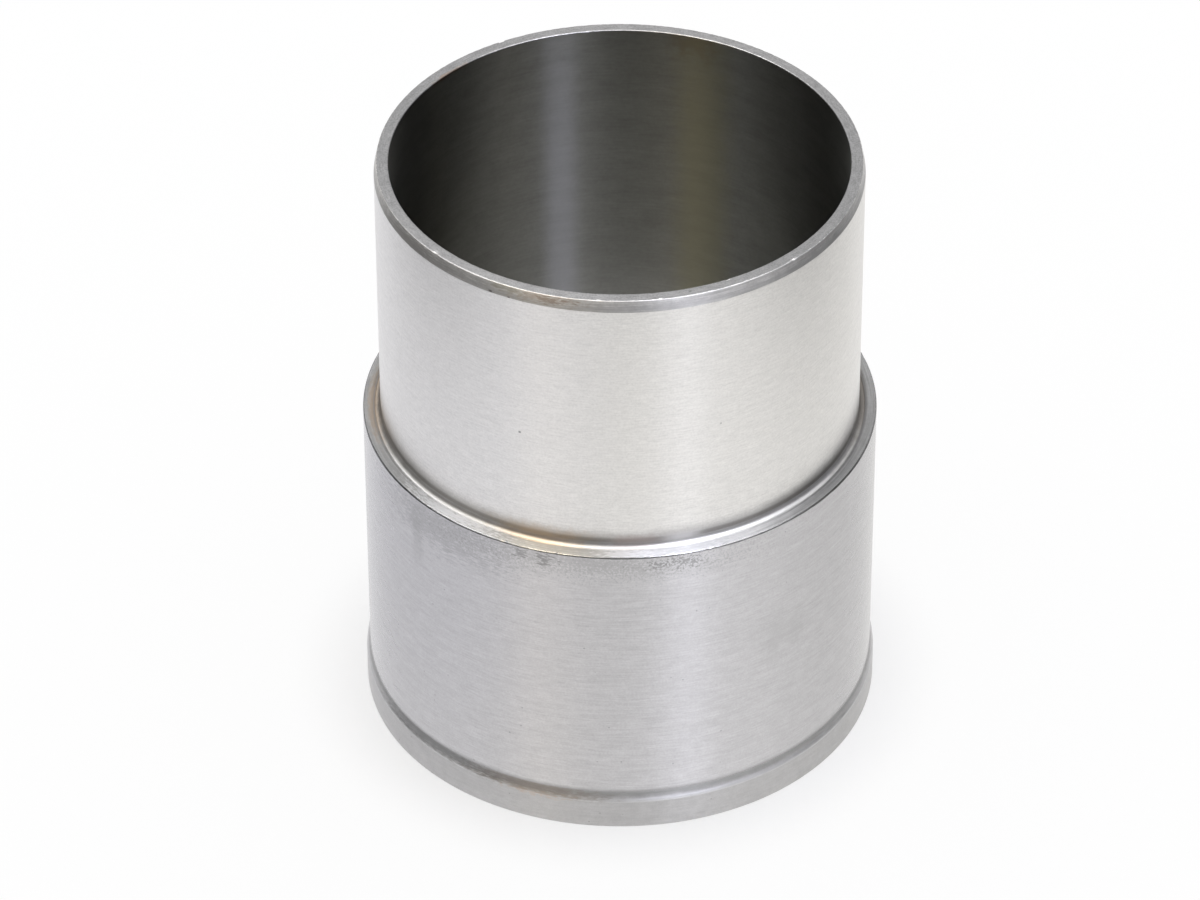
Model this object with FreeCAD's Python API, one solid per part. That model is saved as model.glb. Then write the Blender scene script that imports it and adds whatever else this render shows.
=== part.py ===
import FreeCAD, Part
import math
import os

# Cylinder liner, turned and ground from one iron casting.
# It stands on its flange end. The axis of the bore is Z, and the origin is the
# centre of the base face. All sizes are in millimetres.

# Diameters, built outwards from the bore
bore_diameter = 80.0
sleeve_wall = 2.55            # wall of the thin skirt above the shoulder
shoulder_step = 3.10          # how far the body stands out from the skirt
flange_step = 0.65            # how far the flange stands out from the body

# Heights, from the base face upwards
flange_land = 5.6             # straight outer face of the flange
shoulder_height = 60.3        # base face to shoulder
sleeve_length = 52.0          # shoulder to the top of the skirt

# Blend that runs the body out to the flange
neck_radius = 2.4             # hollow curve that leaves the body wall
flange_edge_radius = 0.8      # round curve that meets the flange face

# Root and corner of the shoulder
root_radius = 1.0
shoulder_break = 0.25

# Lead-in at the top of the skirt
lead_length = 2.1
lead_depth = 0.42
lead_break = 0.12

# Broken edges of the bore and of the base
bore_break = 0.2
base_break = 0.2

bore_radius = bore_diameter / 2
sleeve_radius = bore_radius + sleeve_wall
body_radius = sleeve_radius + shoulder_step
flange_radius = body_radius + flange_step
overall_height = shoulder_height + sleeve_length


def at(radius, height):
    """Point of the section, in the plane that holds the axis."""
    return FreeCAD.Vector(radius, 0, height)


def line(start, end):
    return Part.LineSegment(start, end).toShape()


def arc(centre, radius, from_degrees, to_degrees):
    """Arc about a centre, with angles measured from the outward direction towards the top."""
    def on_arc(degrees):
        turn = math.radians(degrees)
        return centre + FreeCAD.Vector(radius * math.cos(turn), 0, radius * math.sin(turn))
    middle = (from_degrees + to_degrees) / 2
    return Part.Arc(on_arc(from_degrees), on_arc(middle), on_arc(to_degrees)).toShape()


def flange_blend():
    """Round edge of the flange and the hollow neck above it, tangent to each other."""
    lean = math.degrees(math.acos(1 - flange_step / (neck_radius + flange_edge_radius)))
    edge_centre = at(flange_radius - flange_edge_radius, flange_land)
    run = (neck_radius + flange_edge_radius) * math.sin(math.radians(lean))
    neck_top = flange_land + run
    neck_centre = at(body_radius + neck_radius, neck_top)
    edge = arc(edge_centre, flange_edge_radius, 0, lean)
    neck = arc(neck_centre, neck_radius, 180 + lean, 180)
    return [edge, neck], neck_top


def outer_profile():
    """Outside of the liner, from the base face up to the top face."""
    blend, neck_top = flange_blend()
    root_centre = at(sleeve_radius + root_radius, shoulder_height + root_radius)
    lead_radius = sleeve_radius - lead_depth
    return [
        line(at(flange_radius - base_break, 0), at(flange_radius, base_break)),
        line(at(flange_radius, base_break), at(flange_radius, flange_land)),
        *blend,
        line(at(body_radius, neck_top), at(body_radius, shoulder_height - shoulder_break)),
        line(at(body_radius, shoulder_height - shoulder_break),
             at(body_radius - shoulder_break, shoulder_height)),
        line(at(body_radius - shoulder_break, shoulder_height),
             at(sleeve_radius + root_radius, shoulder_height)),
        arc(root_centre, root_radius, 270, 180),
        line(at(sleeve_radius, shoulder_height + root_radius),
             at(sleeve_radius, overall_height - lead_length)),
        line(at(sleeve_radius, overall_height - lead_length),
             at(lead_radius, overall_height - lead_break)),
        line(at(lead_radius, overall_height - lead_break),
             at(lead_radius - lead_break, overall_height)),
    ]


def bore_profile():
    """Top face, the bore and the base face, from the outside of the top back to the start."""
    lead_radius = sleeve_radius - lead_depth
    return [
        line(at(lead_radius - lead_break, overall_height), at(bore_radius + bore_break, overall_height)),
        line(at(bore_radius + bore_break, overall_height), at(bore_radius, overall_height - bore_break)),
        line(at(bore_radius, overall_height - bore_break), at(bore_radius, bore_break)),
        line(at(bore_radius, bore_break), at(bore_radius + bore_break, 0)),
        line(at(bore_radius + bore_break, 0), at(flange_radius - base_break, 0)),
    ]


def cylinder_liner():
    """The wall's section, turned once about the axis of the bore."""
    section = Part.Face(Part.Wire(outer_profile() + bore_profile()))
    return section.revolve(FreeCAD.Vector(0, 0, 0), FreeCAD.Vector(0, 0, 1), 360)


os.makedirs("parts", exist_ok=True)
liner = cylinder_liner()
liner.exportStep("parts/cylinder_liner.step")
print("cylinder_liner", liner.ShapeType, "valid", liner.isValid(), "volume", round(liner.Volume, 1))
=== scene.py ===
import math

import bmesh
import bpy
from mathutils import Euler, Matrix, Vector
from mathutils.noise import noise as noiseAt


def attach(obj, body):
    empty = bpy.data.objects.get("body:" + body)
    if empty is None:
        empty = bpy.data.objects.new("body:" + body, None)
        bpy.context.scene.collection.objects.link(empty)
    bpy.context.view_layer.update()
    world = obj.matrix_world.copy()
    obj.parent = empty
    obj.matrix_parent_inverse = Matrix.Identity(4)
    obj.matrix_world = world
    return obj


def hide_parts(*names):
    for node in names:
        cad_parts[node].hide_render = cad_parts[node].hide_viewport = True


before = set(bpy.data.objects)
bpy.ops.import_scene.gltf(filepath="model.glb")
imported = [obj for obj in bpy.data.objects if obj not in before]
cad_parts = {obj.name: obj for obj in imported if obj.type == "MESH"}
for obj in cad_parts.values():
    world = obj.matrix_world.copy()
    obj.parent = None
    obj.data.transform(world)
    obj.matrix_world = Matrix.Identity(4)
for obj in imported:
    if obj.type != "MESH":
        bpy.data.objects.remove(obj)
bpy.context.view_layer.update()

mm = 0.001
bpy.context.scene.view_settings.view_transform = "Standard"

# Camera: a long lens that looks down on the liner, worked out from the photo's ellipses
photoView = {
    "place": (0.0, -0.88232, 0.72108),
    "down": 37.30,      # degrees below the horizon
    "turn": 0.231,      # degrees to the left
    "roll": 0.187,      # degrees clockwise
    "lens": 185.94,
    "sensor": 36.0,
    "near": 0.05,
    "far": 20.0,
}

# Studio: a strip of white paper, and the soft room that the metal mirrors. Strength 1 is white, lengths are
# in metres. In low, high and edge the three numbers are the values in front, at the sides and behind.
studio = {
    "floorHalfWidth": 0.218,
    "floorFront": 0.326,                        # how far the paper reaches in front of the liner
    "floorBack": 1.6,
    "floorColor": (0.95, 0.95, 0.955, 1.0),
    "floorLift": (0.50, 0.86),                  # share of plain white seen, near the liner and far off
    "liftFrom": (0.047, 0.062),                 # distances from the axis of near and far
    "mirrorFront": (1.0, 0.993, 0.975, 1.0),    # the paper as the metal mirrors it, in front
    "mirrorLeft": (0.96, 0.962, 1.0, 1.0),      # and on the left
    "mirrorFrom": (0.03, -0.12),                # where across the paper the one turns into the other
    # painted shade: the paper inside the bore, where the liner shades it, glows dimmer
    "boreFloorShade": (0.40, 0.85),                  # the paper inside the bore, as mirrored and as seen
    "boreFloorEdge": (0.0402, 0.0415),          # distances from the axis where that part ends
    "plainLight": 1.05,                         # even light on the paper
    "low": (0.00, 0.00, 1.02),                  # room below the ceiling light
    "high": (1.09, 2.12, 0.70),                 # ceiling light
    "edge": (0.90, 0.72, 0.85),                 # sine of the height where it starts
    "soft": 0.03,                               # half the width of that edge
    "top": 2.89,                                # straight overhead
    "topFrom": (0.80, 0.97),                    # sines of the heights where the top starts and is full
    "frontToSide": (-1.0, -0.1),                # on a scale from -1 in front to 1 behind
    "sideToBack": (0.35, 0.95),
    "leftShare": 1.02,                          # the left side of the room against the right
    "leftToRight": (-0.6, 0.6),
    "lampAim": 0.06,                            # height on the axis that the lamps face, from a metre away
}
# turn is degrees to the right of the front, rise degrees above the horizon, size in metres. The brightness
# that the metal mirrors goes with strength, whatever the size.
lamps = {
    "warmStrip": {
        "color": (1.0, 0.86, 0.61), "size": (0.12, 0.5), "turn": -48.4, "rise": 63.7, "strength": 14.6},
    "coolStrip": {
        "color": (0.86, 0.88, 1.0), "size": (0.12, 0.5), "turn": 36.2, "rise": 58.5, "strength": 28.1},
    "coolSoft": {
        "color": (0.95, 0.95, 1.0), "size": (0.5, 0.5), "turn": 66.9, "rise": 57.4, "strength": 3.4},
    "backLamp": {
        "color": (1.0, 1.0, 1.0), "size": (0.3, 0.3), "turn": -140.1, "rise": 65.0, "strength": 12.2},
}


def addNode(tree, kind, inputs=None, **settings):
    node = tree.nodes.new(kind)
    for name, value in settings.items():
        setattr(node, name, value)
    for key, value in (inputs or {}).items():
        if isinstance(value, bpy.types.NodeSocket):
            tree.links.new(value, node.inputs[key])
        else:
            node.inputs[key].default_value = value
    return node


def calc(tree, operation, a, b=0.0, c=0.0, clamp=False):
    node = addNode(tree, "ShaderNodeMath", {0: a, 1: b, 2: c}, operation=operation, use_clamp=clamp)
    return node.outputs[0]


def ramp(tree, value, low, high, start=0.0, end=1.0):
    inputs = {"Value": value, "From Min": low, "From Max": high, "To Min": start, "To Max": end}
    return addNode(tree, "ShaderNodeMapRange", inputs, interpolation_type="SMOOTHSTEP").outputs[0]


def blendColor(tree, mask, base, over, mode="MIX"):
    node = addNode(tree, "ShaderNodeMix", {0: mask, 6: base, 7: over}, data_type="RGBA", blend_type=mode)
    return node.outputs[2]


def blendValue(tree, mask, base, over):
    return addNode(tree, "ShaderNodeMix", {0: mask, 2: base, 3: over}, data_type="FLOAT").outputs[0]


def newMaterial(name):
    material = bpy.data.materials.new(name)
    material.use_nodes = True
    material.node_tree.nodes.clear()
    return material, material.node_tree


def placeCamera():
    data = bpy.data.cameras.new("photoCamera")
    data.lens = photoView["lens"]
    data.sensor_width = photoView["sensor"]
    data.clip_start = photoView["near"]
    data.clip_end = photoView["far"]
    camera = bpy.data.objects.new("photoCamera", data)
    bpy.context.scene.collection.objects.link(camera)
    tilt = Euler((math.radians(90.0 - photoView["down"]), 0.0, math.radians(photoView["turn"])))
    roll = Matrix.Rotation(-math.radians(photoView["roll"]), 4, "Z")
    camera.matrix_world = Matrix.Translation(photoView["place"]) @ tilt.to_matrix().to_4x4() @ roll
    bpy.context.scene.camera = camera
    print("camera placed")


def makePaper():
    # looks white but for a soft shadow at the liner, and the metal mirrors it as an almost even white
    material, tree = newMaterial("whitePaper")
    path = addNode(tree, "ShaderNodeLightPath")
    seen = path.outputs["Is Camera Ray"]
    place = addNode(tree, "ShaderNodeTexCoord").outputs["Object"]
    parts = addNode(tree, "ShaderNodeSeparateXYZ", {0: place})
    left = ramp(tree, parts.outputs[0], *studio["mirrorFrom"])
    tint = blendColor(tree, left, studio["mirrorFront"], studio["mirrorLeft"])
    tint = blendColor(tree, seen, tint, (1.0, 1.0, 1.0, 1.0))
    away = addNode(tree, "ShaderNodeVectorMath", {0: place}, operation="LENGTH").outputs["Value"]
    # painted shade: inside the bore the paper glows dimmer, as mirrored and as seen
    inside = blendValue(tree, seen, *studio["boreFloorShade"])
    bright = blendValue(tree, ramp(tree, away, *studio["boreFloorEdge"]), inside, 1.0)
    mirrored = calc(tree, "MAXIMUM", path.outputs["Is Glossy Ray"], path.outputs["Is Transmission Ray"])
    lift = ramp(tree, away, *studio["liftFrom"], *studio["floorLift"])
    lift = calc(tree, "MULTIPLY_ADD", seen, lift, mirrored, clamp=True)
    paper = addNode(tree, "ShaderNodeBsdfDiffuse", {"Color": studio["floorColor"]})
    white = addNode(tree, "ShaderNodeEmission", {"Color": tint, "Strength": bright})
    both = addNode(tree, "ShaderNodeMixShader", {0: lift, 1: paper.outputs[0], 2: white.outputs[0]})
    addNode(tree, "ShaderNodeOutputMaterial", {"Surface": both.outputs[0]})
    return material


def makeFloor():
    bm = bmesh.new()
    bmesh.ops.create_grid(bm, x_segments=1, y_segments=1, size=1.0)
    depth = studio["floorFront"] + studio["floorBack"]
    bmesh.ops.scale(bm, vec=(studio["floorHalfWidth"], depth / 2, 1.0), verts=bm.verts)
    middle = (studio["floorBack"] - studio["floorFront"]) / 2
    bmesh.ops.translate(bm, vec=(0.0, middle, 0.0), verts=bm.verts)
    mesh = bpy.data.meshes.new("whiteFloor")
    bm.to_mesh(mesh)
    bm.free()
    mesh.materials.append(makePaper())
    floor = bpy.data.objects.new("whiteFloor", mesh)
    bpy.context.scene.collection.objects.link(floor)
    print("floor laid")


def around(tree, depth, values):
    # a value that changes from the front to the sides and to the back
    nearHalf = blendValue(tree, ramp(tree, depth, *studio["frontToSide"]), values[0], values[1])
    return blendValue(tree, ramp(tree, depth, *studio["sideToBack"]), nearHalf, values[2])


def lightRoom():
    world = bpy.data.worlds.new("studioRoom")
    bpy.context.scene.world = world
    world.use_nodes = True
    world.cycles.sampling_method = "NONE"
    tree = world.node_tree
    tree.nodes.clear()
    way = addNode(tree, "ShaderNodeTexCoord").outputs["Generated"]
    parts = addNode(tree, "ShaderNodeSeparateXYZ", {0: way})
    rise = parts.outputs["Z"]
    flat = calc(tree, "SQRT", calc(tree, "SUBTRACT", 1.0, calc(tree, "MULTIPLY", rise, rise)))
    depth = calc(tree, "DIVIDE", parts.outputs["Y"], calc(tree, "MAXIMUM", flat, 0.001))
    low = around(tree, depth, studio["low"])
    high = around(tree, depth, studio["high"])
    high = blendValue(tree, ramp(tree, rise, *studio["topFrom"]), high, studio["top"])
    past = calc(tree, "SUBTRACT", rise, around(tree, depth, studio["edge"]))
    room = blendValue(tree, ramp(tree, past, -studio["soft"], studio["soft"]), low, high)
    rightShare = 2.0 - studio["leftShare"]
    share = ramp(tree, parts.outputs["X"], *studio["leftToRight"], studio["leftShare"], rightShare)
    room = calc(tree, "MULTIPLY", room, share)
    path = addNode(tree, "ShaderNodeLightPath")
    level = blendValue(tree, path.outputs["Is Glossy Ray"], studio["plainLight"], room)
    level = blendValue(tree, path.outputs["Is Camera Ray"], level, 1.0)
    light = addNode(tree, "ShaderNodeBackground", {"Color": (1.0, 1.0, 1.0, 1.0), "Strength": level})
    addNode(tree, "ShaderNodeOutputWorld", {"Surface": light.outputs[0]})
    print("room lit")


def addLamp(name, color, size, turn, rise, strength):
    data = bpy.data.lights.new(name, "AREA")
    data.shape = "RECTANGLE"
    data.size, data.size_y = size
    data.color = color
    data.energy = strength * math.pi * size[0] * size[1]
    lamp = bpy.data.objects.new(name, data)
    bpy.context.scene.collection.objects.link(lamp)
    a, e = math.radians(turn), math.radians(rise)
    way = Vector((math.sin(a) * math.cos(e), -math.cos(a) * math.cos(e), math.sin(e)))
    lamp.location = Vector((0.0, 0.0, studio["lampAim"])) + way
    lamp.rotation_euler = way.to_track_quat("Z", "Y").to_euler()
    lamp.visible_diffuse = False


placeCamera()
makeFloor()
lightRoom()
for name, lamp in lamps.items():
    addLamp(name, **lamp)
print("lamps hung")

# Liner: sizes in millimetres, the heights and radii of its turned section
liner = {
    "boreRadius": 40.0,
    "skirtRadius": 42.55,
    "bodyRadius": 45.65,
    "flangeRadius": 46.3,
    "height": 112.3,
    "shoulder": 60.3,
    "land": 5.6,            # straight face of the flange
    "neckRound": 2.4,       # hollow above the flange
    "neckTop": 7.6,         # just above that hollow
    "flangeRound": 0.8,
    "rootRound": 1.0,
    "cornerBreak": 0.25,    # corner of the shoulder
    "leadLength": 2.1,
    "leadDepth": 0.42,
    "leadRound": 0.15,      # where the lead-in meets the skirt
    "rimBreak": 0.12,
    "boreBreak": 0.2,
    "baseBreak": 0.2,
    "sectors": 12,
    "steps": 90,            # facets in each sector
    "weld": 0.004,          # points closer than this are one
    "sharpAngle": 35,       # degrees between faces from which an edge looks sharp
}
rimRadius = liner["skirtRadius"] - liner["leadDepth"]
# Extra points on the straight runs beside an edge, in mm from it. They keep wear and nicks close to the edge.
guards = {"wall": 0.5, "rim": 0.3, "bore": 0.4}


def sectionCorners():
    s = liner
    lean = math.acos(1.0 - (s["flangeRadius"] - s["bodyRadius"]) / (s["neckRound"] + s["flangeRound"]))
    half = math.tan(lean / 2)
    top = s["height"]
    leadFoot = top - s["leadLength"]
    neckLow = s["land"] + s["flangeRound"] * half
    neckHigh = s["land"] + (s["neckRound"] + s["flangeRound"]) * math.sin(lean) - s["neckRound"] * half
    guardRadius = rimRadius + guards["rim"] * s["leadDepth"] / s["leadLength"]
    # radius, height, how far the rounding reaches, facets in the rounding. The guards have no facets.
    return [
        (s["flangeRadius"], 0.0, s["baseBreak"], 3),
        (s["flangeRadius"], neckLow, s["flangeRound"] * half, 6),
        (s["bodyRadius"], neckHigh, s["neckRound"] * half, 10),
        (s["bodyRadius"], s["shoulder"] - guards["wall"], 0.0, 0),
        (s["bodyRadius"], s["shoulder"], s["cornerBreak"], 3),
        (s["bodyRadius"] - guards["wall"], s["shoulder"], 0.0, 0),
        (s["skirtRadius"], s["shoulder"], s["rootRound"], 14),
        (s["skirtRadius"], leadFoot, s["leadRound"], 2),
        (guardRadius, top - guards["rim"], 0.0, 0),
        (rimRadius, top, s["rimBreak"], 3),
        (rimRadius - guards["rim"], top, 0.0, 0),
        (s["boreRadius"] + guards["bore"], top, 0.0, 0),
        (s["boreRadius"], top, s["boreBreak"], 3),
        (s["boreRadius"], top - guards["wall"], 0.0, 0),
        (s["boreRadius"], 0.0, s["boreBreak"], 3),
    ]


zones = ["rim", "lead", "skirt", "root", "shoulder", "body", "neck", "flange", "bore", "base"]
slack = 0.01    # mm by which the middle of a face may lie beside its zone


def zoneOf(radius, height):
    s = liner
    top = s["height"]
    if height > top - slack:
        return "rim"
    if radius < s["boreRadius"] + s["boreBreak"] + slack:
        return "rim" if height > top - s["boreBreak"] else "bore"
    if height < slack:
        return "base"
    if height > top - s["leadLength"]:
        return "lead"
    if height > s["shoulder"] + s["rootRound"] - slack:
        return "skirt"
    if height > s["shoulder"] + slack:
        return "root"
    if height > s["shoulder"] - slack:
        return "shoulder"
    if height > s["neckTop"]:
        return "body"
    if height > s["land"]:
        return "neck"
    return "flange"


# Worn edges and nicks: reach, depth and size in mm, turn in degrees, bumps about how many in each radian
edgeWear = {
    "rim": {"radius": rimRadius, "height": liner["height"], "reach": 0.10, "depth": 0.035, "bumps": 70.0},
    "bore": {"radius": liner["boreRadius"], "height": liner["height"], "reach": 0.17, "depth": 0.05,
             "bumps": 55.0},
    "shoulder": {"radius": liner["bodyRadius"], "height": liner["shoulder"], "reach": 0.21, "depth": 0.06,
                 "bumps": 40.0},
}
nickReach = 0.27        # how far from the edge a nick takes in the section
nicks = [
    {"edge": "rim", "turn": -4.9, "size": 0.45, "depth": 0.05},
    {"edge": "rim", "turn": 9.3, "size": 0.35, "depth": 0.05},
    {"edge": "rim", "turn": -48.0, "size": 0.60, "depth": 0.07},
    {"edge": "bore", "turn": 26.8, "size": 0.40, "depth": 0.10},
    {"edge": "rim", "turn": 44.0, "size": 0.45, "depth": 0.10},
    {"edge": "shoulder", "turn": -26.0, "size": 0.50, "depth": 0.08},
    {"edge": "shoulder", "turn": -13.5, "size": 0.40, "depth": 0.07},
    {"edge": "shoulder", "turn": 118.0, "size": 0.70, "depth": 0.12},
    {"edge": "rim", "turn": -150.0, "size": 0.55, "depth": 0.12},
]


def gapTo(edge, radius, height):
    return math.hypot(radius - edge["radius"], height - edge["height"])


def wearEdges(bm):
    # only ever inward, so that the liner keeps its size
    boreSide = liner["boreRadius"] + guards["wall"]
    for vert in bm.verts:
        spot = vert.co / mm
        radius = math.hypot(spot.x, spot.y)
        turn = math.degrees(math.atan2(spot.x, -spot.y))
        depth = 0.0
        for edge in edgeWear.values():
            if gapTo(edge, radius, spot.z) < edge["reach"]:
                way = Vector((spot.x, spot.y, 0.0)).normalized() * edge["bumps"]
                # coarse bumps with finer ones on them
                depth += edge["depth"] * max(0.0, noiseAt(way) + 0.25 * noiseAt(way * 4.0))
        for nick in nicks:
            if gapTo(edgeWear[nick["edge"]], radius, spot.z) < nickReach:
                away = abs(math.radians(turn - nick["turn"])) * radius / nick["size"]
                depth += nick["depth"] * max(0.0, 1.0 - away * away)
        if depth:
            out = -1.0 if radius < boreSide else 1.0
            slope = Vector((spot.x * out / radius, spot.y * out / radius, 1.0)).normalized()
            vert.co -= slope * depth * mm


def spinLiner():
    bm = bmesh.new()
    corners = sectionCorners()
    verts = [bm.verts.new((r * mm, 0.0, z * mm)) for r, z, reach, facets in corners]
    for a, b in zip(verts, verts[1:] + verts[:1]):
        bm.edges.new((a, b))
    for vert, (r, z, reach, facets) in zip(verts, corners):
        if facets:
            bmesh.ops.bevel(bm, geom=[vert], offset=reach * mm, segments=facets, profile=0.5,
                            affect="VERTICES", material=-1)
    weld = liner["weld"] * mm
    bmesh.ops.remove_doubles(bm, verts=bm.verts, dist=weld)
    sector = 2 * math.pi / liner["sectors"]
    section = list(bm.verts) + list(bm.edges)
    bmesh.ops.spin(bm, geom=section, cent=(0, 0, 0), axis=(0, 0, 1), angle=sector, steps=liner["steps"])
    wedge = list(bm.verts) + list(bm.edges) + list(bm.faces)
    bmesh.ops.spin(bm, geom=wedge, cent=(0, 0, 0), axis=(0, 0, 1), angle=2 * math.pi,
                   steps=liner["sectors"], use_duplicate=True)
    bmesh.ops.remove_doubles(bm, verts=bm.verts, dist=weld)
    wearEdges(bm)
    bmesh.ops.recalc_face_normals(bm, faces=bm.faces)
    for face in bm.faces:
        middle = face.calc_center_median() / mm
        face.material_index = zones.index(zoneOf(math.hypot(middle.x, middle.y), middle.z))
        face.smooth = True
    mesh = bpy.data.meshes.new("liner")
    bm.to_mesh(mesh)
    bm.free()
    mesh.set_sharp_from_angle(angle=math.radians(liner["sharpAngle"]))
    piece = bpy.data.objects.new("liner", mesh)
    bpy.context.scene.collection.objects.link(piece)
    weighted = piece.modifiers.new("evenWalls", "WEIGHTED_NORMAL")
    weighted.keep_sharp = True
    shaped = piece.evaluated_get(bpy.context.evaluated_depsgraph_get())
    piece.data = bpy.data.meshes.new_from_object(shaped)
    piece.modifiers.clear()
    print("liner spun", len(mesh.polygons), "faces")
    return piece


# Finishes: color is the metal's, rough the roughness of the smooth land between the tool marks. marks is the
# share of open marks, which scatter light across their own direction, markRough and markLean their roughness
# and anisotropy. pitch, length and depth of the marks are in mm, and so is patch, the size of uneven patches.
# lines, streaks, cloud and grain are how much each of them changes the color, as a share. edge, where given,
# dulls what is mirrored at a grazing angle.
finishes = {
    "rim": {
        "color": (0.275, 0.273, 0.275, 1.0), "rough": 0.37, "marks": 0.0, "markRough": 0.55, "markLean": 1.0,
        "pitch": 0.26, "length": 1.6, "depth": 0.006, "patch": 1.6,
        "lines": 0.3, "streaks": 0.08, "cloud": 0.14, "grain": 0.46},
    "lead": {
        "color": (0.64, 0.631, 0.622, 1.0), "rough": 0.59, "marks": 0.43, "markRough": 0.53, "markLean": 0.97,
        "pitch": 0.28, "length": 6.0, "depth": 0.005, "patch": 2.0,
        "lines": 0.3, "streaks": 0.2, "cloud": 0.16, "grain": 0.14},
    "skirt": {
        "color": (0.835, 0.823, 0.806, 1.0), "rough": 0.33, "marks": 0.14, "markRough": 0.55, "markLean": 1.0,
        "pitch": 0.24, "length": 2.5, "depth": 0.0012, "patch": 2.0,
        "lines": 0.13, "streaks": 0.03, "cloud": 0.05, "grain": 0.14},
    "root": {
        "color": (0.56, 0.556, 0.553, 1.0), "rough": 0.48, "marks": 0.1, "markRough": 0.53, "markLean": 1.0,
        "pitch": 0.22, "length": 10.0, "depth": 0.003, "patch": 2.5,
        "lines": 0.26, "streaks": 0.18, "cloud": 0.08, "grain": 0.08},
    "shoulder": {
        "color": (0.523, 0.522, 0.523, 1.0), "rough": 0.46, "marks": 0.8, "markRough": 0.65, "markLean": 1.0,
        "pitch": 0.26, "length": 10.0, "depth": 0.004, "patch": 2.5,
        "lines": 0.36, "streaks": 0.24, "cloud": 0.12, "grain": 0.12},
    "body": {
        "color": (0.614, 0.608, 0.62, 1.0), "rough": 0.2, "marks": 0.28, "markRough": 0.55, "markLean": 1.0,
        "pitch": 0.25, "length": 4.0, "depth": 0.0016, "patch": 1.8,
        "lines": 0.17, "streaks": 0.04, "cloud": 0.07, "grain": 0.16},
    "neck": {
        "color": (0.623, 0.619, 0.626, 1.0), "rough": 0.46, "marks": 0.33, "markRough": 0.55, "markLean": 1.0,
        "pitch": 0.35, "length": 6.0, "depth": 0.003, "patch": 2.0,
        "lines": 0.18, "streaks": 0.14, "cloud": 0.16, "grain": 0.1},
    "flange": {
        "color": (0.533, 0.527, 0.531, 1.0), "rough": 0.41, "marks": 0.19, "markRough": 0.55, "markLean": 1.0,
        "pitch": 0.4, "length": 3.5, "depth": 0.0025, "patch": 1.6,
        "lines": 0.1, "streaks": 0.08, "cloud": 0.12, "grain": 0.1},
    "bore": {
        "color": (0.388, 0.387, 0.365, 1.0), "rough": 0.18, "marks": 0.44, "markRough": 0.32, "markLean": 1.0,
        "pitch": 0.4, "length": 4.0, "depth": 0.0008, "patch": 3.0,
        "lines": 0.11, "streaks": 0.04, "cloud": 0.1, "grain": 0.1, "edge": 0.25},
    "base": {
        "color": (0.58, 0.575, 0.57, 1.0), "rough": 0.38, "marks": 0.3, "markRough": 0.55, "markLean": 1.0,
        "pitch": 0.45, "length": 12.0, "depth": 0.005, "patch": 3.0,
        "lines": 0.2, "streaks": 0.14, "cloud": 0.18, "grain": 0.1},
}
landLean = 0.3          # anisotropy of the smooth land
roughSpread = 0.06      # how far the roughness of the land ranges from patch to patch
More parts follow.
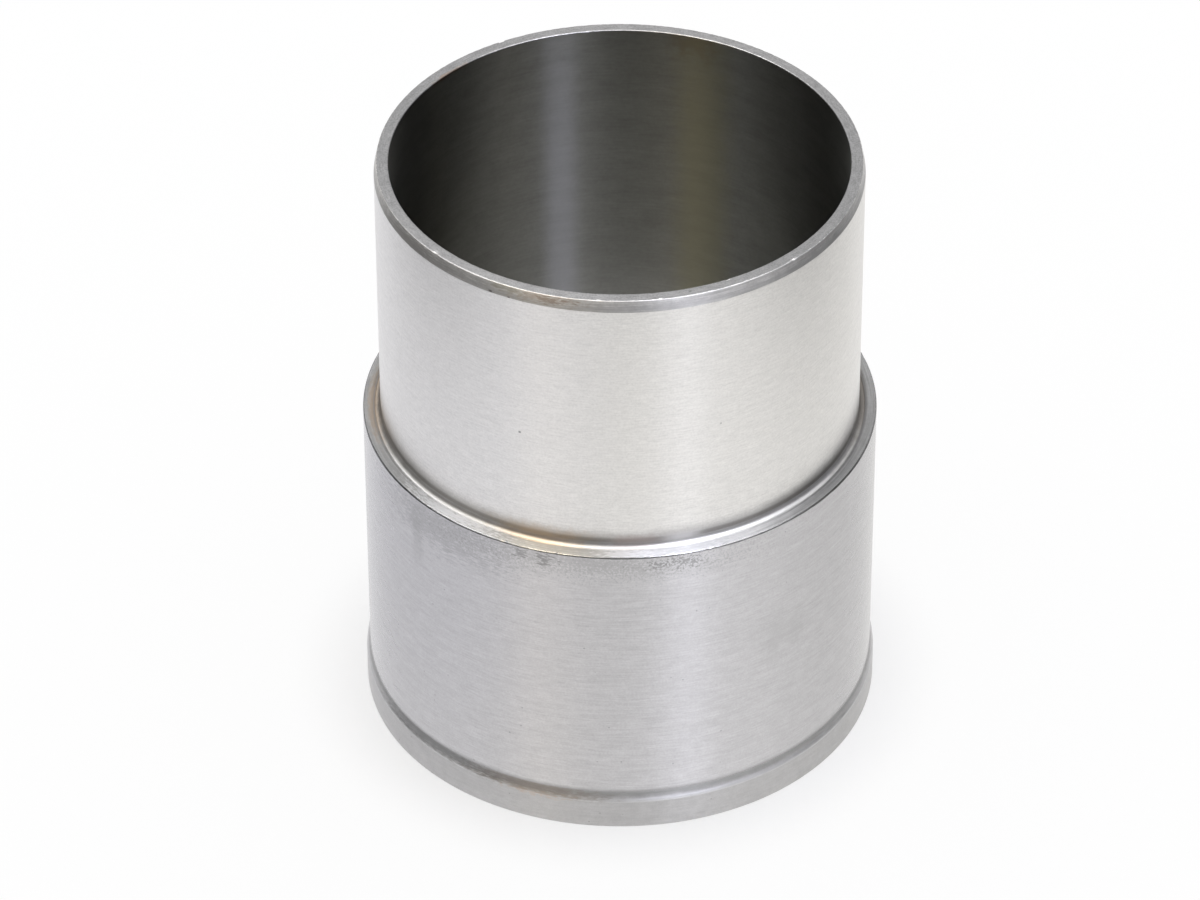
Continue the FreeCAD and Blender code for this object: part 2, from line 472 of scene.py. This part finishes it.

# Dirt, stains and scuffs, and painted shade, painted highlights and painted reflections, all laid on as
# colour.
# turn and spread are degrees round the liner from its front, radius and height the place in its section in
# mm, reach the size there. ragged is how broken the edge is, fade how soft, kind the pattern that breaks it,
# and amount how much of its color is laid on in the middle.
allRound = 2000.0       # a spread so wide that the turn no longer counts
stainsAndPaintedLight = {
    "wallShade": {
        "zones": ("skirt",), "turn": 0.0, "spread": allRound, "radius": 42.55, "height": 60.3,
        "reach": 4.2, "ragged": 0.03, "kind": "cloud", "color": (0.2, 0.19, 0.175, 1.0), "amount": 0.62},
    "cornerShade": {
        "zones": ("skirt", "root"), "turn": 0.0, "spread": allRound, "radius": 42.6, "height": 61.75,
        "reach": 0.7, "ragged": 0.02, "kind": "cloud", "color": (0.2, 0.19, 0.175, 1.0), "amount": 0.56},
    # partly brown grime in the root corner, partly painted shade: it darkens the fillet at the sides and
    # back, which mirror no lamp
    "cornerGrimeAndShade": {
        "zones": ("root", "shoulder"), "turn": 180.0, "spread": 128.0, "radius": 42.9, "height": 60.6,
        "reach": 1.5, "ragged": 0.04, "fade": 0.3, "kind": "cloud",
        "color": (0.16, 0.14, 0.12, 1.0), "amount": 0.85},
    # painted shade: a dark line along the shoulder's outer corner, dimming what its worn break mirrors
    "cornerShadeLine": {
        "zones": ("body",), "turn": 0.0, "spread": allRound, "radius": 45.62, "height": 60.28,
        "reach": 0.32, "ragged": 0.25, "fade": 0.4, "kind": "cloud",
        "color": (0.2, 0.2, 0.2, 1.0), "amount": 0.8},
    "rootTan": {
        "zones": ("skirt", "root"), "turn": -19.0, "spread": 15.0, "radius": 42.6, "height": 61.1,
        "reach": 3.2, "ragged": 0.25, "kind": "cloud", "color": (0.6, 0.45, 0.31, 1.0), "amount": 0.42},
    # painted highlight: the cool strip lamp's reflection on the wall above the root
    "rootHighlight": {
        "zones": ("skirt", "root"), "turn": 14.5, "spread": 7.0, "radius": 42.6, "height": 61.6,
        "reach": 1.4, "ragged": 0.15, "kind": "cloud", "color": (0.84, 0.83, 0.82, 1.0), "amount": 0.6},
    "rootPink": {
        "zones": ("skirt", "root"), "turn": 4.0, "spread": 8.0, "radius": 42.6, "height": 61.4,
        "reach": 2.2, "ragged": 0.3, "kind": "cloud", "color": (0.42, 0.33, 0.3, 1.0), "amount": 0.35},
    # painted shade: the dark wall above the root made darker still on the right
    "rootRightShade": {
        "zones": ("skirt",), "turn": 55.0, "spread": 26.0, "radius": 42.6, "height": 61.3,
        "reach": 2.6, "ragged": 0.1, "kind": "cloud", "color": (0.12, 0.11, 0.1, 1.0), "amount": 0.22},
    # partly a tan stain on the fillet, partly a painted warm highlight, lighter than the metal
    "rootTanAndHighlight": {
        "zones": ("root", "shoulder"), "turn": -19.0, "spread": 9.0, "radius": 43.3, "height": 60.4,
        "reach": 0.6, "ragged": 0.3, "kind": "speck", "color": (0.8, 0.62, 0.45, 1.0), "amount": 0.35},
    "ledgeTan": {
        "zones": ("root", "shoulder"), "turn": -88.0, "spread": 20.0, "radius": 43.9, "height": 60.3,
        "reach": 1.3, "ragged": 0.25, "kind": "speck", "color": (0.5, 0.4, 0.31, 1.0), "amount": 0.75},
    # painted shade: a dark ring where the root's fillet meets the flat of the shoulder
    "ledgeShadeLine": {
        "zones": ("root", "shoulder"), "turn": 0.0, "spread": allRound, "radius": 43.75, "height": 60.3,
        "reach": 0.22, "ragged": 0.35, "kind": "cloud", "color": (0.36, 0.36, 0.37, 1.0), "amount": 0.55},
    # painted highlight on the shoulder's flat, on the left
    "ledgeHighlight": {
        "zones": ("shoulder",), "turn": -42.0, "spread": 19.0, "radius": 44.3, "height": 60.3,
        "reach": 2.2, "ragged": 0.6, "kind": "speck", "color": (0.86, 0.86, 0.88, 1.0), "amount": 0.65},
    # painted highlight on the shoulder's flat, in front
    "ledgeFrontHighlight": {
        "zones": ("shoulder",), "turn": 2.0, "spread": 9.0, "radius": 44.6, "height": 60.3,
        "reach": 2.2, "ragged": 0.5, "kind": "speck", "color": (0.92, 0.92, 0.94, 1.0), "amount": 0.55},
    # painted shade that dims the cool strip lamp's highlight on the shoulder's flat
    "ledgePaintedShade": {
        "zones": ("shoulder",), "turn": 16.0, "spread": 12.0, "radius": 44.6, "height": 60.3,
        "reach": 1.8, "ragged": 0.5, "kind": "speck", "color": (0.36, 0.36, 0.36, 1.0), "amount": 0.7},
    "leadBrown": {
        "zones": ("lead",), "turn": -17.5, "spread": 9.5, "radius": 42.2, "height": 111.5,
        "reach": 1.2, "ragged": 0.8, "kind": "speck", "color": (0.52, 0.42, 0.35, 1.0), "amount": 0.45},
    "leadCore": {
        "zones": ("lead",), "turn": -15.5, "spread": 4.0, "radius": 42.3, "height": 111.3,
        "reach": 0.7, "ragged": 1.2, "kind": "speck", "color": (0.3, 0.22, 0.17, 1.0), "amount": 0.5},
    "leadLower": {
        "zones": ("lead",), "turn": 0.0, "spread": allRound, "radius": 42.4, "height": 110.7,
        "reach": 0.9, "ragged": 0.4, "kind": "speck", "color": (0.36, 0.36, 0.36, 1.0), "amount": 0.3},
    "leadOlive": {
        "zones": ("lead",), "turn": -27.0, "spread": 5.0, "radius": 42.2, "height": 111.8,
        "reach": 0.8, "ragged": 0.7, "kind": "speck", "color": (0.45, 0.43, 0.35, 1.0), "amount": 0.5},
    "leadDark": {
        "zones": ("lead",), "turn": -58.0, "spread": 22.0, "radius": 42.4, "height": 110.8,
        "reach": 1.8, "ragged": 0.6, "kind": "speck", "color": (0.46, 0.45, 0.44, 1.0), "amount": 0.6},
    "boreBrown": {
        "zones": ("bore", "rim"), "turn": -131.0, "spread": 9.0, "radius": 40.1, "height": 112.1,
        "reach": 0.5, "ragged": 0.5, "kind": "cloud", "color": (0.3, 0.21, 0.15, 1.0), "amount": 0.6},
    "boreStain": {
        "zones": ("bore",), "turn": 160.0, "spread": 8.0, "radius": 40.0, "height": 112.0,
        "reach": 5.0, "ragged": 0.4, "kind": "cloud", "color": (0.26, 0.2, 0.14, 1.0), "amount": 0.6},
    # painted reflection: an olive band down the bore where it mirrors the warm strip lamp
    "boreWarmReflection": {
        "zones": ("bore",), "turn": 158.0, "spread": 11.0, "radius": 40.0, "height": 80.0,
        "reach": 60.0, "ragged": 0.1, "kind": "cloud", "color": (0.42, 0.4, 0.27, 1.0), "amount": 0.6},
    # painted reflection: a pale band down the bore where it mirrors the cool strip lamp
    "boreCoolReflection": {
        "zones": ("bore",), "turn": -164.5, "spread": 7.0, "radius": 40.0, "height": 70.0,
        "reach": 60.0, "ragged": 0.1, "kind": "cloud", "color": (0.55, 0.55, 0.58, 1.0), "amount": 0.5},
    # painted shade: a dark ring in the hollow above the flange
    "neckShadeLine": {
        "zones": ("body", "neck"), "turn": 0.0, "spread": allRound, "radius": 45.7, "height": 7.3,
        "reach": 1.1, "ragged": 0.1, "kind": "cloud", "color": (0.26, 0.26, 0.26, 1.0), "amount": 0.6},
    # painted highlight: a pale ring on the steep part of the hollow above the flange
    "neckHighlight": {
        "zones": ("neck",), "turn": 0.0, "spread": allRound, "radius": 46.1, "height": 6.0,
        "reach": 0.55, "ragged": 0.2, "kind": "cloud", "color": (0.8, 0.8, 0.81, 1.0), "amount": 0.5},
    "neckBrown": {
        "zones": ("neck", "flange"), "turn": -21.0, "spread": 22.0, "radius": 45.9, "height": 6.8,
        "reach": 1.7, "ragged": 0.35, "kind": "speck", "color": (0.24, 0.19, 0.16, 1.0), "amount": 0.5},
    "neckShade": {
        "zones": ("neck",), "turn": -48.0, "spread": 26.0, "radius": 45.8, "height": 7.0,
        "reach": 1.6, "ragged": 0.35, "kind": "speck", "color": (0.22, 0.22, 0.22, 1.0), "amount": 0.5},
    "neckTan": {
        "zones": ("neck", "flange"), "turn": -19.0, "spread": 7.0, "radius": 46.2, "height": 5.6,
        "reach": 0.5, "ragged": 1.2, "kind": "speck", "color": (0.62, 0.52, 0.45, 1.0), "amount": 0.5},
    "bodySmudge": {
        "zones": ("body",), "turn": -44.0, "spread": 24.0, "radius": 45.65, "height": 56.8,
        "reach": 5.5, "ragged": 0.7, "kind": "speck", "color": (0.36, 0.355, 0.36, 1.0), "amount": 0.42},
    "bodySpeckle": {
        "zones": ("body",), "turn": -8.0, "spread": 36.0, "radius": 45.65, "height": 59.0,
        "reach": 3.4, "ragged": 1.3, "kind": "grain", "color": (0.34, 0.335, 0.335, 1.0), "amount": 0.36},
    "bodySmear": {
        "zones": ("body",), "turn": -51.0, "spread": 2.6, "radius": 45.65, "height": 53.0,
        "reach": 9.0, "ragged": 0.4, "kind": "cloud", "color": (0.38, 0.38, 0.38, 1.0), "amount": 0.3},
    "bodyDark": {
        "zones": ("body",), "turn": 38.0, "spread": 9.0, "radius": 45.65, "height": 36.0,
        "reach": 6.0, "ragged": 0.5, "kind": "cloud", "color": (0.44, 0.44, 0.44, 1.0), "amount": 0.22},
    "bodyClusterA": {
        "zones": ("body",), "turn": -16.4, "spread": 2.0, "radius": 45.65, "height": 58.6,
        "reach": 1.5, "ragged": 1.3, "kind": "speck", "color": (0.22, 0.22, 0.22, 1.0), "amount": 0.6},
    "bodyClusterB": {
        "zones": ("body",), "turn": -22.2, "spread": 1.6, "radius": 45.65, "height": 58.8,
        "reach": 1.2, "ragged": 1.3, "kind": "speck", "color": (0.22, 0.22, 0.22, 1.0), "amount": 0.5},
    "bodyClusterC": {
        "zones": ("body",), "turn": 8.7, "spread": 2.4, "radius": 45.65, "height": 58.4,
        "reach": 0.8, "ragged": 1.1, "kind": "grain", "color": (0.22, 0.22, 0.22, 1.0), "amount": 0.5},
    "bodyDots": {
        "zones": ("body",), "turn": 14.5, "spread": 3.2, "radius": 45.65, "height": 58.6,
        "reach": 1.5, "ragged": 1.5, "kind": "grain", "color": (0.22, 0.22, 0.22, 1.0), "amount": 0.45},
    "skirtPit": {
        "zones": ("skirt",), "turn": -23.7, "spread": 0.45, "radius": 42.55, "height": 82.5,
        "reach": 0.3, "ragged": 0.2, "kind": "cloud", "color": (0.12, 0.12, 0.12, 1.0), "amount": 0.8},
    "skirtSpeck": {
        "zones": ("skirt",), "turn": 23.9, "spread": 0.35, "radius": 42.55, "height": 84.3,
        "reach": 0.25, "ragged": 0.2, "kind": "cloud", "color": (0.3, 0.3, 0.3, 1.0), "amount": 0.6},
    "leadSpotA": {
        "zones": ("lead",), "turn": -30.8, "spread": 0.7, "radius": 42.5, "height": 110.4,
        "reach": 0.3, "ragged": 0.3, "kind": "cloud", "color": (0.12, 0.11, 0.1, 1.0), "amount": 0.8},
    "leadSpotB": {
        "zones": ("lead",), "turn": -26.1, "spread": 0.5, "radius": 42.5, "height": 110.3,
        "reach": 0.25, "ragged": 0.3, "kind": "cloud", "color": (0.14, 0.12, 0.11, 1.0), "amount": 0.7},
    "rimSpot": {
        "zones": ("rim",), "turn": 16.7, "spread": 0.5, "radius": 41.0, "height": 112.3,
        "reach": 0.3, "ragged": 0.3, "kind": "cloud", "color": (0.14, 0.14, 0.14, 1.0), "amount": 0.8},
}
stainAndLightPattern = {"pitch": 0.32, "length": 1.2, "patch": 2.0, "seed": 5.0}
# Small round pits, scattered: spacing and size in mm, share of the places that hold one
pitting = {
    "body": {"spacing": 2.2, "size": 0.22, "share": 0.30, "color": (0.30, 0.30, 0.30, 1.0), "seed": 3.0},
    "flange": {"spacing": 2.0, "size": 0.20, "share": 0.25, "color": (0.28, 0.28, 0.28, 1.0), "seed": 5.0},
    "rim": {"spacing": 1.8, "size": 0.18, "share": 0.25, "color": (0.25, 0.25, 0.25, 1.0), "seed": 7.0},
}
pitAmount = 0.7
seedStep = {"marks": 3.7, "patches": 1.3}    # so that no two zones share a pattern


def makeGroup(name, inputs, outputs):
    group = bpy.data.node_groups.new(name, "ShaderNodeTree")
    group.interface.new_socket("Vector", in_out="INPUT", socket_type="NodeSocketVector")
    for key, value in inputs.items():
        socket = group.interface.new_socket(key, in_out="INPUT", socket_type="NodeSocketFloat")
        socket.default_value = value
    for key in outputs:
        group.interface.new_socket(key, in_out="OUTPUT", socket_type="NodeSocketFloat")
    return group, addNode(group, "NodeGroupInput").outputs


def closeGroup(group, **outputs):
    addNode(group, "NodeGroupOutput", outputs)
    return group


def useGroup(tree, group, spot, **values):
    # values has the names of the group's inputs, in small letters
    inputs = {"Vector": spot} | {key.capitalize(): value for key, value in values.items()}
    return addNode(tree, "ShaderNodeGroup", inputs, node_tree=group).outputs


def noise(tree, vector, detail, contrast):
    # from 0 to 1 and about 0.5 in the mean
    inputs = {"Vector": vector, "Scale": 1.0, "Detail": detail, "Roughness": 0.55}
    raw = addNode(tree, "ShaderNodeTexNoise", inputs).outputs[0]
    return calc(tree, "MULTIPLY_ADD", raw, contrast, (1.0 - contrast) / 2, clamp=True)


def scaled(tree, vector, scale):
    return addNode(tree, "ShaderNodeVectorMath", {0: vector, "Scale": scale}, operation="SCALE").outputs[0]


def inCells(group, given, size):
    # the place counted in cells of that size in mm, moved along by the seed
    spot = scaled(group, given["Vector"], calc(group, "DIVIDE", 1.0 / mm, size))
    shift = addNode(group, "ShaderNodeCombineXYZ", {0: given["Seed"], 1: given["Seed"], 2: given["Seed"]})
    inputs = {0: spot, 1: shift.outputs[0]}
    return addNode(group, "ShaderNodeVectorMath", inputs, operation="ADD").outputs[0]


def groupPlace():
    # turn in degrees from the front, radius and height in mm, and a step across the tool marks
    group, given = makeGroup("linerPlace", {}, ("Turn", "Radius", "Height", "Across"))
    parts = addNode(group, "ShaderNodeSeparateXYZ", {0: given["Vector"]})
    x, y, z = parts.outputs[0], parts.outputs[1], parts.outputs[2]
    turn = calc(group, "DEGREES", calc(group, "ARCTAN2", x, calc(group, "MULTIPLY", y, -1.0)))
    square = calc(group, "ADD", calc(group, "MULTIPLY", x, x), calc(group, "MULTIPLY", y, y))
    radius = calc(group, "DIVIDE", calc(group, "SQRT", square), mm)
    height = calc(group, "DIVIDE", z, mm)
    across = calc(group, "SUBTRACT", height, radius)
    return closeGroup(group, Turn=turn, Radius=radius, Height=height, Across=across)


def groupToolMarks(place):
    # fine lines and broad streaks that run round the liner
    start = {"Pitch": 0.4, "Length": 8.0, "Seed": 0.0}
    group, given = makeGroup("toolMarks", start, ("Lines", "Streaks"))
    across = useGroup(group, place, given["Vector"])["Across"]
    parts = addNode(group, "ShaderNodeSeparateXYZ", {0: given["Vector"]})
    marks = []
    for pitchTimes, lengthTimes in ((1.0, 1.0), (6.0, 3.0)):
        length = calc(group, "MULTIPLY", given["Length"], lengthTimes * mm)
        pitch = calc(group, "MULTIPLY", given["Pitch"], pitchTimes)
        spot = addNode(group, "ShaderNodeCombineXYZ", {
            0: calc(group, "DIVIDE", parts.outputs[0], length),
            1: calc(group, "DIVIDE", parts.outputs[1], length),
            2: calc(group, "ADD", calc(group, "DIVIDE", across, pitch), given["Seed"])})
        marks.append(noise(group, spot.outputs[0], detail=2.0, contrast=2.2))
    return closeGroup(group, Lines=marks[0], Streaks=marks[1])


def groupMottle():
    # soft uneven patches, and a grain five times as fine
    group, given = makeGroup("mottle", {"Size": 2.0, "Seed": 0.0}, ("Cloud", "Grain"))
    spot = inCells(group, given, given["Size"])
    cloud = noise(group, spot, detail=3.0, contrast=2.0)
    grain = noise(group, scaled(group, spot, 5.0), detail=2.0, contrast=2.0)
    return closeGroup(group, Cloud=cloud, Grain=grain)


def groupStainAndLightPatch(place):
    # an uneven patch at one place of the section, 1 in its middle, broken up by the noise it is given
    start = {"Turn": 0.0, "Spread": 10.0, "Radius": 42.0, "Height": 60.0, "Reach": 1.0,
             "Ragged": 0.5, "Fade": 0.8, "Noise": 0.5}
    group, given = makeGroup("stainAndLightPatch", start, ("Mask",))
    spot = useGroup(group, place, given["Vector"])
    # the turn is wrapped, so that a patch may lie across the back
    gap = calc(group, "WRAP", calc(group, "SUBTRACT", spot["Turn"], given["Turn"]), 180.0, -180.0)
    aside = calc(group, "DIVIDE", gap, given["Spread"])
    out = calc(group, "DIVIDE", calc(group, "SUBTRACT", spot["Radius"], given["Radius"]), given["Reach"])
    up = calc(group, "DIVIDE", calc(group, "SUBTRACT", spot["Height"], given["Height"]), given["Reach"])
    across = calc(group, "MULTIPLY_ADD", up, up, calc(group, "MULTIPLY", out, out))
    along = calc(group, "MULTIPLY", aside, aside)
    # the fourth power gives it a squarer outline than an ellipse
    total = calc(group, "MULTIPLY_ADD", along, along, calc(group, "MULTIPLY", across, across))
    total = calc(group, "SQRT", calc(group, "SQRT", total))
    broken = calc(group, "MULTIPLY", calc(group, "SUBTRACT", given["Noise"], 0.5), given["Ragged"])
    near = calc(group, "SUBTRACT", calc(group, "MULTIPLY_ADD", broken, -2.0, 1.0), total)
    return closeGroup(group, Mask=ramp(group, near, 0.0, given["Fade"]))


def groupPits():
    # round spots at the middles of scattered cells, soft from 0.4 of their size outward
    start = {"Spacing": 2.0, "Size": 0.2, "Share": 0.3, "Seed": 0.0}
    group, given = makeGroup("pits", start, ("Mask",))
    spot = inCells(group, given, given["Spacing"])
    cells = addNode(group, "ShaderNodeTexVoronoi", {"Vector": spot, "Scale": 1.0})
    chance = addNode(group, "ShaderNodeSeparateColor", {0: cells.outputs["Color"]}).outputs[0]
    gap = calc(group, "MULTIPLY", cells.outputs["Distance"], given["Spacing"])
    core = calc(group, "MULTIPLY", given["Size"], 0.4)
    inside = ramp(group, gap, given["Size"], core)
    here = calc(group, "LESS_THAN", chance, given["Share"])
    return closeGroup(group, Mask=calc(group, "MULTIPLY", inside, here))


linerPlace = groupPlace()
toolMarks = groupToolMarks(linerPlace)
mottle = groupMottle()
stainAndLightPatch = groupStainAndLightPatch(linerPlace)
pits = groupPits()


def metal(tree, color, rough, lean, normal, edge):
    # the quarter turn stretches the highlights across the marks
    inputs = {"Base Color": color, "Roughness": rough, "Normal": normal, "Metallic": 1.0,
              "Anisotropic": lean, "Anisotropic Rotation": 0.25, "Specular Tint": (edge, edge, edge, 1.0)}
    return addNode(tree, "ShaderNodeBsdfPrincipled", inputs).outputs[0]


def layPits(tree, spot, color, pit):
    keys = ("spacing", "size", "share", "seed")
    mask = useGroup(tree, pits, spot, **{key: pit[key] for key in keys})["Mask"]
    return blendColor(tree, calc(tree, "MULTIPLY", mask, pitAmount), color, pit["color"])


def layStainsAndPaintedLight(tree, spot, color, marks):
    speck = useGroup(tree, toolMarks, spot, pitch=stainAndLightPattern["pitch"], length=stainAndLightPattern["length"],
                     seed=stainAndLightPattern["seed"])
    soft = useGroup(tree, mottle, spot, size=stainAndLightPattern["patch"], seed=stainAndLightPattern["seed"])
    kinds = {"speck": speck["Lines"], "cloud": soft["Cloud"], "grain": soft["Grain"]}
    keys = ("turn", "spread", "radius", "height", "reach", "ragged", "fade")
    for mark in marks:
        values = {key: mark[key] for key in keys if key in mark}
        mask = useGroup(tree, stainAndLightPatch, spot, noise=kinds[mark["kind"]], **values)["Mask"]
        color = blendColor(tree, calc(tree, "MULTIPLY", mask, mark["amount"]), color, mark["color"])
    return color


def makeFinish(zone, number):
    look = finishes[zone]
    material, tree = newMaterial("iron_" + zone)
    spot = addNode(tree, "ShaderNodeTexCoord").outputs["Object"]
    tool = useGroup(tree, toolMarks, spot, pitch=look["pitch"], length=look["length"],
                    seed=seedStep["marks"] * number)
    soft = useGroup(tree, mottle, spot, size=look["patch"], seed=seedStep["patches"] * number)
    shade = 1.0
    for value, share in ((tool["Lines"], look["lines"]), (tool["Streaks"], look["streaks"]),
                         (soft["Cloud"], look["cloud"]), (soft["Grain"], look["grain"])):
        shade = calc(tree, "ADD", shade, calc(tree, "MULTIPLY_ADD", value, share, -share / 2))
    color = blendColor(tree, 1.0, look["color"], shade, "MULTIPLY")
    rough = calc(tree, "MULTIPLY_ADD", soft["Cloud"], roughSpread, look["rough"] - roughSpread / 2)
    if zone in pitting:
        color = layPits(tree, spot, color, pitting[zone])
    marks = [mark for mark in stainsAndPaintedLight.values() if zone in mark["zones"]]
    if marks:
        color = layStainsAndPaintedLight(tree, spot, color, marks)
    height = calc(tree, "MULTIPLY", tool["Lines"], look["depth"])
    bump = addNode(tree, "ShaderNodeBump", {"Strength": 1.0, "Distance": mm, "Height": height}).outputs[0]
    edge = look.get("edge", 1.0)
    land = metal(tree, color, rough, landLean, bump, edge)
    openMarks = metal(tree, color, look["markRough"], look["markLean"], bump, edge)
    # more marks are open in the streaks
    vary = look["marks"] * look["streaks"] * 2
    share = calc(tree, "MULTIPLY_ADD", tool["Streaks"], vary, look["marks"] - vary / 2)
    both = addNode(tree, "ShaderNodeMixShader", {0: share, 1: land, 2: openMarks})
    addNode(tree, "ShaderNodeOutputMaterial", {"Surface": both.outputs[0]})
    return material


piece = spinLiner()
for number, zone in enumerate(zones):
    piece.data.materials.append(makeFinish(zone, number))
print("iron finished")
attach(piece, "root")
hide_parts("cylinder_liner")
